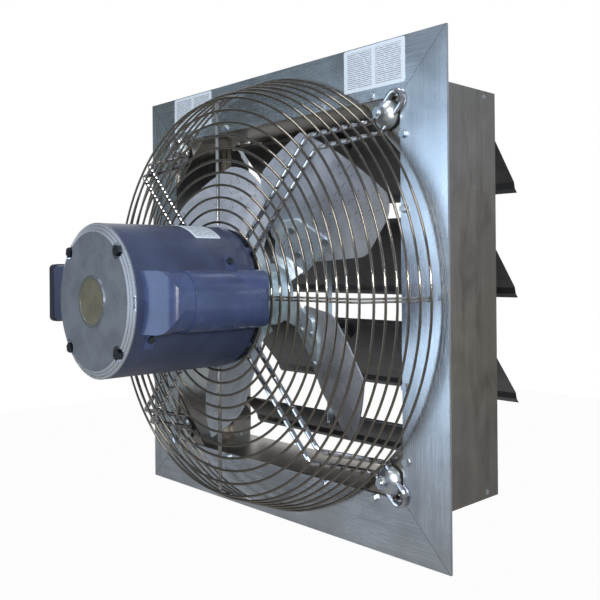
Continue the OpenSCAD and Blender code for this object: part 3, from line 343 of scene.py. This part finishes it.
def plated(name, base, roughness=0.09, mottle=0.08):
    """Bright plated wire or rod with a slightly uneven polish."""
    material, g = new_material(name)
    patch = g.noise(g.place(), 70.0, 3.0, 0.6)
    grain = g.noise(g.place(), 900.0, 2.0, 0.5)
    face = g.mix(patch, shaded(base, 0.85), shaded(base, 1.15))
    rough = roughness + (patch - 0.5) * mottle
    g.surface(Base_Color=face, Metallic=1.0, Roughness=rough, Normal=g.bump(grain, 0.01 * MM))
    return material


def zinc_plate(name, base):
    """Zinc plating: pale metal with cool and yellow patches and a fine grain."""
    material, g = new_material(name)
    patch = g.noise(g.place(), 130.0, 3.0, 0.55, 0.5)
    grain = g.noise(g.place(), 1500.0, 2.0, 0.5)
    tint = g.mix(g.step(patch, 0.35, 0.65), (base[0] * 0.86, base[1] * 0.92, base[2]),
                 (base[0], base[1] * 0.98, base[2] * 0.86))
    rough = 0.24 + patch * 0.16
    g.surface(Base_Color=tint, Metallic=1.0, Roughness=rough, Normal=g.bump(grain, 0.01 * MM))
    return material


def motor_enamel(name, base, gloss=0.34):
    """Sprayed enamel: an orange-peel surface, worn a little paler in patches, with fine dust on top."""
    material, g = new_material(name)
    peel = g.noise(g.place(), 420.0, 2.0, 0.45)
    cloud = g.noise(g.place(), 24.0, 4.0, 0.6, 0.3)
    dust = g.step(g.noise(g.place(), 900.0, 3.0, 0.7), 0.58, 0.78)
    up = g.axes(g.node("ShaderNodeNewGeometry", output=1))[2]
    face = g.mix(g.step(cloud, 0.35, 0.7), shaded(base, 0.85), shaded(base, 1.2))
    face = g.mix(dust * (0.05 + g.step(up, 0.2, 1.0) * 0.22), face, (0.32, 0.31, 0.29))
    rough = gloss + cloud * 0.14
    g.surface(Base_Color=face, Metallic=0.0, Roughness=rough, Coat_Weight=0.25, Coat_Roughness=0.18,
              Normal=g.bump(peel, 0.05 * MM))
    return material


def turned_bell(name, base, rim=None, rim_in=1.0):
    """Casting faced on a lathe: faint rings about the shaft, a fine grain and, on a bell, a bright rim with
    painted shade in its grooves.
    """
    material, g = new_material(name)
    radius = g.from_shaft()
    rings = (radius * (TAU / (0.9 * MM))).sine() * 0.5 + 0.5
    cast = g.noise(g.place(), 520.0, 4.0, 0.65)
    cloud = g.noise(g.place(), 30.0, 3.0, 0.6, 0.5)
    face = g.mix(g.step(cloud * 0.7 + cast * 0.3, 0.35, 0.65), shaded(base, 0.84), shaded(base, 1.16))
    rough = 0.42 + cast * 0.14
    height = g.bump(rings * 0.3 + cast * 0.7, 0.03 * MM)
    if rim:
        on_rim = g.step(radius, rim_in, rim_in + 0.4 * MM)
        groove = (radius * (TAU / (3.4 * MM))).sine() > 0.75
        # The rim's grooves are darkened to 0.3 of the rim's colour: painted shade in the grooves.
        face = g.mix(on_rim, face, g.mix(groove * 0.7, rim, shaded(rim, 0.3)))
        rough = rough - on_rim * 0.2
        height = g.bump(groove * on_rim, 0.4 * MM, height)
    g.surface(Base_Color=face, Metallic=0.75, Roughness=rough, Normal=height)
    return material


def cap_disc(name, base, ring_colour, ring_in):
    """Tan disc inside a bright rolled ring."""
    material, g = new_material(name)
    ring = g.step(g.from_shaft(), ring_in - 0.2 * MM, ring_in)
    speck = g.noise(g.place(), 700.0, 3.0, 0.6)
    cloud = g.noise(g.place(), 60.0, 3.0, 0.6)
    disc = g.mix(g.step(cloud * 0.5 + speck * 0.5, 0.38, 0.64), shaded(base, 0.8), shaded(base, 1.2))
    g.surface(Base_Color=g.mix(ring, disc, ring_colour), Metallic=ring * 0.9 + 0.05,
              Roughness=0.5 - ring * 0.28 + (speck - 0.5) * 0.1, Normal=g.bump(speck, 0.02 * MM))
    return material


def blade_sheet(name, base, metallic=0.72):
    """Bright blade sheet: brush marks, hand smears and a few scuffs."""
    material, g = new_material(name)
    brush = g.noise(g.stretched((60, 500, 60)), 1.0, 3.0, 0.6, 0.2)
    smear = g.noise(g.place(), 16.0, 4.0, 0.6, 0.8)
    scuff = g.step(g.noise(g.stretched((90, 90, 240)), 1.0, 5.0, 0.7, 1.2), 0.62, 0.70)
    face = g.mix(g.step(smear, 0.3, 0.7), shaded(base, 0.8), shaded(base, 1.12))
    face = g.mix(scuff * 0.3, face, shaded(base, 0.45))
    rough = 0.22 + brush * 0.14 + g.step(smear, 0.45, 0.75) * 0.14
    g.surface(Base_Color=face, Metallic=metallic, Roughness=rough, Normal=g.bump(brush, 0.01 * MM))
    return material


def laminations(name, base, pitch=0.65 * MM):
    """Stacked core plates, edge on along the shaft."""
    material, g = new_material(name)
    line = (g.along_shaft() * (TAU / pitch)).sine() * 0.5 + 0.5
    rust = g.noise(g.place(), 60.0, 4.0, 0.6)
    face = g.mix(line, shaded(base, 0.45), base)
    face = g.mix(g.step(rust, 0.5, 0.8) * 0.4, face, (0.16, 0.09, 0.05))
    g.surface(Base_Color=face, Metallic=0.9, Roughness=0.4 + rust * 0.1, Normal=g.bump(line, 0.1 * MM))
    return material


def wound_copper(name, base):
    """End turns wound round the shaft from varnished wire."""
    material, g = new_material(name)
    turns = ((g.from_shaft() + g.along_shaft()) * (TAU / (1.1 * MM))).sine() * 0.5 + 0.5
    lay = g.noise(g.place(), 90.0, 3.0, 0.6)
    face = g.mix(turns, shaded(base, 0.35), shaded(base, 1.15))
    face = g.mix(lay * 0.3, face, shaded(base, 0.5))
    g.surface(Base_Color=face, Metallic=0.6, Roughness=0.3 + lay * 0.15, Coat_Weight=0.4,
              Normal=g.bump(turns, 0.4 * MM))
    return material


def moulded(name, base, roughness=0.5, grain=600.0, metallic=0.0):
    """Rubber, plastic or a drawn can with a fine grain."""
    material, g = new_material(name)
    speck = g.noise(g.place(), grain, 3.0, 0.6)
    cloud = g.noise(g.place(), 45.0, 3.0, 0.5)
    face = g.mix(g.step(cloud * 0.5 + speck * 0.5, 0.35, 0.65), shaded(base, 0.8), shaded(base, 1.2))
    rough = roughness + (speck - 0.5) * 0.15
    g.surface(Base_Color=face, Metallic=metallic, Roughness=rough, Normal=g.bump(speck, 0.03 * MM))
    return material


def ruled_sticker(name, paper, rule, origin, across, up, size):
    """Sticker face with plain grey rules in two columns, and a blank border."""
    material, g = new_material(name)
    point = g.vector("SUBTRACT", g.place(), tuple(origin))
    u = g.vector("DOT_PRODUCT", point, tuple(across), output=1)
    v = g.vector("DOT_PRODUCT", point, tuple(up), output=1)
    width, height = size
    inside = (abs(u) < width * 0.44) * (abs(v) < height * 0.42) * (abs(u) > width * 0.03)
    rows = (v * (TAU / (2.4 * MM))).sine() > 0.2
    breaks = g.noise(g.vector("MULTIPLY", g.place(), (260, 260, 900)), 1.0, 1.0) > 0.40
    fibre = g.noise(g.place(), 1200.0, 2.0, 0.5)
    sheet = g.mix(fibre, shaded(paper, 0.95), shaded(paper, 1.05))
    face = g.mix(inside * rows * breaks * 0.8, sheet, rule)
    g.surface(Base_Color=face, Metallic=0.0, Roughness=0.38 + fibre * 0.08, Normal=g.bump(fibre, 0.01 * MM))
    return material


def finish(material, *nodes):
    """Gives CAD nodes a material in their own slots."""
    for node in nodes:
        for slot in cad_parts[node].material_slots:
            slot.material = material


# Added pieces

def new_piece(name, mesh, body, material):
    """A mesh object that rides on a body and takes its finish from a slot."""
    piece = bpy.data.objects.new(name, mesh)
    bpy.context.scene.collection.objects.link(piece)
    mesh.materials.append(material)
    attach(piece, body)
    return piece


def mesh_from(bm, name, smooth=True):
    """Ends a bmesh as a mesh."""
    mesh = bpy.data.meshes.new(name)
    for face in bm.faces:
        face.smooth = smooth
    bm.normal_update()
    bm.to_mesh(mesh)
    bm.free()
    return mesh


def around(angle):
    """Turns a piece drawn at +X to an angle, measured from +X towards +Z."""
    return Matrix.Rotation(-angle, 4, "Y")


def rounded_outline(width, height, radius, steps=6):
    """Points of a rounded rectangle about the origin, in order."""
    points = []
    corners = ((1, 1, 0), (-1, 1, 1), (-1, -1, 2), (1, -1, 3))
    for sx, sy, quarter in corners:
        centre = Vector((sx * (width / 2 - radius), sy * (height / 2 - radius)))
        for k in range(steps + 1):
            angle = (quarter + k / steps) * math.pi / 2
            points.append(centre + radius * Vector((math.cos(angle), math.sin(angle))))
    return points


class FAN_OT_sheet_metal(bpy.types.Operator):
    """Finish the wall frame, the box and its rails in rolled sheet"""

    bl_idname = "fan.sheet_metal"
    bl_label = "Sheet metal"

    def execute(self, context):
        colours = context.scene.fan_colours
        bright, dull = tuple(colours.frame_sheet), tuple(colours.box_sheet)
        finish(rolled_sheet("frame_sheet_across", bright, "x", 0.26, seams=True), "frame_top",
               "frame_bottom")
        finish(rolled_sheet("frame_sheet_upright", bright, "z", 0.26, seams=True), "frame_left",
               "frame_right")
        # The box's top and bottom take the dull sheet darkened to 0.7 of its colour: painted shade on these
        # panels.
        finish(rolled_sheet("box_sheet_flat_painted_shade", shaded(dull, 0.7), "x", 0.36, grime=0.35), "box_top",
               "box_bottom")
        finish(rolled_sheet("box_sheet_upright", dull, "z", 0.20, grime=0.45), "box_left", "box_right",
               "corner_gussets", "shutter_rail_left", "shutter_rail_right")
        return {"FINISHED"}


class FAN_OT_guard(bpy.types.Operator):
    """Finish the wire guard, the struts and the mount plate"""

    bl_idname = "fan.guard"
    bl_label = "Wire guard and struts"

    def execute(self, context):
        colours = context.scene.fan_colours
        # The rings take a darkened copy of the wire's plating: painted shade.
        finish(plated("guard_wire_and_shade", tuple(colours.wire)), "guard_rings", "guard_side_rings")
        # The spokes take a lighter copy of the wire's plating: painted reflection.
        finish(plated("spoke_wire_and_reflection", tuple(colours.spoke)), "guard_spokes")
        finish(plated("strut_rod", tuple(colours.rod), 0.10), "strut_rods")
        finish(zinc_plate("mount_plate", tuple(colours.zinc)), "motor_mount_plate")
        return {"FINISHED"}


class FAN_OT_fasteners(bpy.types.Operator):
    """Finish the clamps, screws, bolts, nuts, rivets and pads"""

    bl_idname = "fan.fasteners"
    bl_label = "Clamps and fasteners"

    def execute(self, context):
        colours = context.scene.fan_colours
        finish(zinc_plate("zinc_plate", tuple(colours.zinc)), "frame_screws", "box_rivets", "strut_clamps",
               "clamp_bolts", "clamp_nuts", "through_bolt_nuts", "hub_set_screw", "blade_rivets",
               "tie_pins")
        finish(plated("dark_screw", tuple(colours.screw), 0.3), "cover_screws", "conduit_screws",
               "through_bolts")
        finish(moulded("pad_rubber", tuple(colours.rubber), 0.7), "clamp_pads")
        return {"FINISHED"}


class FAN_OT_motor(bpy.types.Operator):
    """Finish the motor, its capacitor cover and its conduit box"""

    bl_idname = "fan.motor"
    bl_label = "Motor"

    def execute(self, context):
        colours = context.scene.fan_colours
        finish(motor_enamel("motor_enamel", tuple(colours.motor_paint)), "motor_shell", "rear_bell",
               "conduit_box")
        # The cover takes the lighter, bluer copy of the motor paint: partly painted light.
        finish(motor_enamel("cover_enamel_and_light", tuple(colours.cover_paint_and_light), 0.2), "capacitor_cover")
        finish(motor_enamel("lid_enamel", tuple(colours.lid_paint), 0.3), "conduit_lid")
        sizes = context.scene.fan_sizes
        bell_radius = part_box("front_bell")[1].z
        finish(turned_bell("front_bell_cast", tuple(colours.bell), tuple(colours.bell_rim),
                           bell_radius - sizes.bell_rim), "front_bell")
        cap_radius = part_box("bearing_cap")[1].x
        finish(cap_disc("bearing_cap_disc", tuple(colours.cap), tuple(colours.zinc),
                        cap_radius - sizes.cap_ring), "bearing_cap")
        finish(laminations("core_plates", tuple(colours.steel)), "stator_core", "rotor_core")
        finish(wound_copper("end_turns", tuple(colours.copper)), "stator_windings")
        finish(plated("ground_steel", tuple(colours.steel), 0.18), "front_bearing", "rear_bearing",
               "motor_shaft")
        finish(moulded("capacitor_can", tuple(colours.zinc), 0.3, 300.0, 1.0), "capacitor")
        return {"FINISHED"}


class FAN_OT_propeller(bpy.types.Operator):
    """Finish the propeller's blades, spider and hub"""

    bl_idname = "fan.propeller"
    bl_label = "Propeller"

    def execute(self, context):
        colours = context.scene.fan_colours
        blades = [f"fan_blade_{i}" for i in range(1, 5)]
        finish(blade_sheet("blade_sheet", tuple(colours.blade)), *blades)
        finish(blade_sheet("spider_sheet", tuple(colours.spider), 0.6), "fan_spider")
        finish(turned_bell("cast_hub", tuple(colours.spider)), "fan_hub")
        return {"FINISHED"}


class FAN_OT_shutter(bpy.types.Operator):
    """Finish the shutter's blades, rods, bushes and tie bar"""

    bl_idname = "fan.shutter"
    bl_label = "Shutter"

    def execute(self, context):
        colours = context.scene.fan_colours
        blades = [f"shutter_blade_{i}" for i in range(1, 5)]
        # The shutter blades take the darkened aluminium: partly painted shade inside the box.
        finish(rolled_sheet("louvre_sheet_and_shade", tuple(colours.louvre), "x", 0.34, grime=0.4), *blades)
        finish(plated("pivot_rod", tuple(colours.steel), 0.22), *[f"pivot_rod_{i}" for i in range(1, 5)])
        finish(rolled_sheet("tie_bar_sheet", tuple(colours.spider), "z", 0.3), "tie_bar")
        finish(moulded("bush_plastic", tuple(colours.plastic), 0.45), "shutter_bushes")
        return {"FINISHED"}


class FAN_OT_weld_beads(bpy.types.Operator):
    """Put a weld bead wherever a flat ring crosses a strut rod or a radial wire"""

    bl_idname = "fan.weld_beads"
    bl_label = "Weld beads"

    def execute(self, context):
        sizes = context.scene.fan_sizes
        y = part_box("guard_rings")[0].y + sizes.ring_wire
        crossings = []
        for start, spacing in ((math.pi / 4, sizes.rod_spacing), (0, sizes.spoke_spacing)):
            crossings += [(start + k * math.pi / 2, side * spacing / 2) for k in range(4) for side in (-1, 1)]
        squash = Matrix.Diagonal((1, 0.6, 1, 1))
        bm = bmesh.new()
        for index in range(sizes.flat_rings):
            radius = sizes.inner_ring + index * sizes.ring_pitch
            for angle, offset in crossings:
                along = math.sqrt(radius * radius - offset * offset)
                place = around(angle) @ Matrix.Translation((along, y, offset))
                bmesh.ops.create_icosphere(bm, subdivisions=2, radius=sizes.bead, matrix=place @ squash)
        mesh = mesh_from(bm, "weld_beads")
        # The weld beads take the guard wire's darkened colour: painted shade.
        material = plated("weld_metal", tuple(context.scene.fan_colours.wire), 0.28, 0.2)
        new_piece("weld_beads", mesh, "housing", material)
        return {"FINISHED"}


class FAN_OT_stickers(bpy.types.Operator):
    """Put plain ruled stickers on the frame and on the motor"""

    bl_idname = "fan.stickers"
    bl_label = "Stickers"

    def flat(self, context, name, centre, size):
        """A sticker on the frame's front face."""
        sizes = context.scene.fan_sizes
        colours = context.scene.fan_colours
        face_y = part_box("frame_top")[0].y
        bm = bmesh.new()
        outline = [bm.verts.new((centre[0] + p.x, face_y, centre[1] + p.y))
                   for p in rounded_outline(*size, sizes.sticker_corner)]
        base = bm.faces.new(outline)
        lifted = bmesh.ops.extrude_face_region(bm, geom=[base])["geom"]
        moved = [item for item in lifted if isinstance(item, bmesh.types.BMVert)]
        bmesh.ops.translate(bm, verts=moved, vec=(0, -sizes.sticker, 0))
        bmesh.ops.recalc_face_normals(bm, faces=bm.faces)
        mesh = mesh_from(bm, name, smooth=False)
        material = ruled_sticker(name, tuple(colours.paper), tuple(colours.print_grey),
                                 (centre[0], face_y, centre[1]), (1, 0, 0), (0, 0, 1), size)
        new_piece(name, mesh, "housing", material)

    def wrapped(self, context, name, start, end, front, back):
        """A sticker rolled round the motor shell between two angles."""
        sizes = context.scene.fan_sizes
        colours = context.scene.fan_colours
        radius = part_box("motor_shell")[1].z
        width, height = radius * (end - start), back - front
        middle, depth = (start + end) / 2, (front + back) / 2
        lift = radius + sizes.sticker
        columns = 24
        bm = bmesh.new()
        outline = rounded_outline(width, height, sizes.sticker_corner, 4)
        rows = sorted({round(p.y, 6) for p in outline})
        grid = []
        for v in rows:
            reach = max(p.x for p in outline if round(p.y, 6) == v)
            line = []
            for k in range(columns + 1):
                u = reach * (2 * k / columns - 1)
                angle = middle + u / radius
                line.append(bm.verts.new((lift * math.cos(angle), depth + v, lift * math.sin(angle))))
            grid.append(line)
        for a, b in zip(grid, grid[1:]):
            for k in range(columns):
                bm.faces.new((a[k], a[k + 1], b[k + 1], b[k]))
        bmesh.ops.recalc_face_normals(bm, faces=bm.faces)
        bmesh.ops.solidify(bm, geom=bm.faces[:], thickness=sizes.sticker)
        mesh = mesh_from(bm, name)
        centre = Vector((radius * math.cos(middle), depth, radius * math.sin(middle)))
        across = (-math.sin(middle), 0, math.cos(middle))
        material = ruled_sticker(name, tuple(colours.paper), tuple(colours.print_grey), centre, across,
                                 (0, 1, 0), (width, height))
        new_piece(name, mesh, "housing", material)

    def execute(self, context):
        for name, centre, size in FRAME_STICKERS:
            self.flat(context, name, centre, size)
        self.wrapped(context, "sticker_motor", *MOTOR_STICKER)
        return {"FINISHED"}


class FAN_OT_studio(bpy.types.Operator):
    """Set up the camera, the lamps, the floor and the white backdrop"""

    bl_idname = "fan.studio"
    bl_label = "Studio"

    def execute(self, context):
        scene = context.scene
        studio = scene.fan_studio
        scene.view_settings.view_transform = "Standard"
        self.camera(scene, studio)
        self.world(scene, studio)
        self.floor(scene, studio)
        for lamp in LAMPS:
            self.lamp(scene, *lamp)
        return {"FINISHED"}

    def camera(self, scene, studio):
        """The camera at the photo's viewing angle."""
        data = bpy.data.cameras.new("camera")
        data.lens = studio.lens
        data.sensor_width = 36
        data.shift_x, data.shift_y = studio.shift
        camera = bpy.data.objects.new("camera", data)
        scene.collection.objects.link(camera)
        camera.location = studio.eye
        flat = math.cos(studio.tilt)
        view = Vector((-math.sin(studio.heading) * flat, math.cos(studio.heading) * flat,
                       math.sin(studio.tilt)))
        level = view.to_track_quat("-Z", "Y")
        camera.rotation_mode = "QUATERNION"
        camera.rotation_quaternion = Quaternion(view, studio.roll) @ level
        scene.camera = camera

    def world(self, scene, studio):
        """White to the camera, a room with a white backdrop for metal to mirror, and plain soft light."""
        world = bpy.data.worlds.new("studio")
        scene.world = world
        g = Graph(world)
        rays = g.node("ShaderNodeLightPath").socket.node.outputs
        glossy, camera_ray, clear = (Flow(g, rays[f"Is {kind} Ray"])
                                     for kind in ("Glossy", "Camera", "Transmission"))
        way = g.node("ShaderNodeTexCoord", output=0)
        x, y, z = g.axes(way)
        room = g.mix(g.step(z, -0.5, 0.6), ROOM_LOW, ROOM_HIGH)
        for centre, start, full, tint in ROOM_PATCHES:
            patch = g.step(g.vector("DOT_PRODUCT", way, centre, output=1), start, full)
            room = g.mix(patch, room, tint)
        mirrored = g.mix(g.step(y - x, 0.9, 1.3), room, WHITE)
        seen = g.mix(glossy, (studio.ambient,) * 3, mirrored)
        seen = g.mix(g.math("MAXIMUM", camera_ray, clear), seen, WHITE)
        light = g.node("ShaderNodeBackground", None, {0: seen, 1: 1.0})
        g.node("ShaderNodeOutputWorld", None, {0: light}, None)

    def floor(self, scene, studio):
        """A pale floor, white to the camera."""
        bm = bmesh.new()
        bmesh.ops.create_grid(bm, x_segments=8, y_segments=8, size=6)
        bmesh.ops.translate(bm, verts=bm.verts, vec=(0, 0, -studio.floor_drop))
        floor = bpy.data.objects.new("floor", mesh_from(bm, "floor", smooth=False))
        scene.collection.objects.link(floor)
        material, g = new_material("floor")
        rays = g.node("ShaderNodeLightPath").socket.node.outputs
        camera_ray = Flow(g, rays["Is Camera Ray"])
        matt = g.node("ShaderNodeBsdfDiffuse", None, {0: (0.5, 0.5, 0.5, 1)})
        white = g.node("ShaderNodeEmission", None, {0: (1, 1, 1, 1), 1: 1.0})
        mixed = g.node("ShaderNodeMixShader", None, {0: camera_ray * 0.97, 1: matt, 2: white})
        g.node("ShaderNodeOutputMaterial", None, {0: mixed}, None)
        floor.data.materials.append(material)

    def lamp(self, scene, name, place, width, height, power, tint):
        """A soft oblong lamp that faces the fan."""
        data = bpy.data.lights.new(name, "AREA")
        data.shape = "RECTANGLE"
        data.size, data.size_y = width, height
        data.energy = power
        data.color = tint
        lamp = bpy.data.objects.new(name, data)
        scene.collection.objects.link(lamp)
        lamp.location = place
        lamp.rotation_euler = (-Vector(place)).to_track_quat("-Z", "Y").to_euler()


class FAN_PT_panel(bpy.types.Panel):
    """Lists the steps that dress the fan"""

    bl_idname = "FAN_PT_panel"
    bl_label = "Shutter exhaust fan"
    bl_space_type = "VIEW_3D"
    bl_region_type = "UI"
    bl_category = "Fan"

    def draw(self, context):
        for operator in OPERATORS:
            self.layout.operator(operator.bl_idname)
        for group in (context.scene.fan_sizes, context.scene.fan_colours, context.scene.fan_studio):
            column = self.layout.column(align=True)
            for name in group.__annotations__:
                column.prop(group, name)


OPERATORS = (FAN_OT_sheet_metal, FAN_OT_guard, FAN_OT_fasteners, FAN_OT_motor, FAN_OT_propeller,
             FAN_OT_shutter, FAN_OT_weld_beads, FAN_OT_stickers, FAN_OT_studio)
CLASSES = (FanSizes, FanColours, StudioSettings, *OPERATORS, FAN_PT_panel)


def register():
    for kind in CLASSES:
        bpy.utils.register_class(kind)
    bpy.types.Scene.fan_sizes = bpy.props.PointerProperty(type=FanSizes)
    bpy.types.Scene.fan_colours = bpy.props.PointerProperty(type=FanColours)
    bpy.types.Scene.fan_studio = bpy.props.PointerProperty(type=StudioSettings)


def unregister():
    del bpy.types.Scene.fan_studio
    del bpy.types.Scene.fan_colours
    del bpy.types.Scene.fan_sizes
    for kind in reversed(CLASSES):
        bpy.utils.unregister_class(kind)


def main():
    register()
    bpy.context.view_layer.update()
    for operator in OPERATORS:
        group, name = operator.bl_idname.split(".")
        getattr(getattr(bpy.ops, group), name)()


if __name__ == "__main__":
    main()
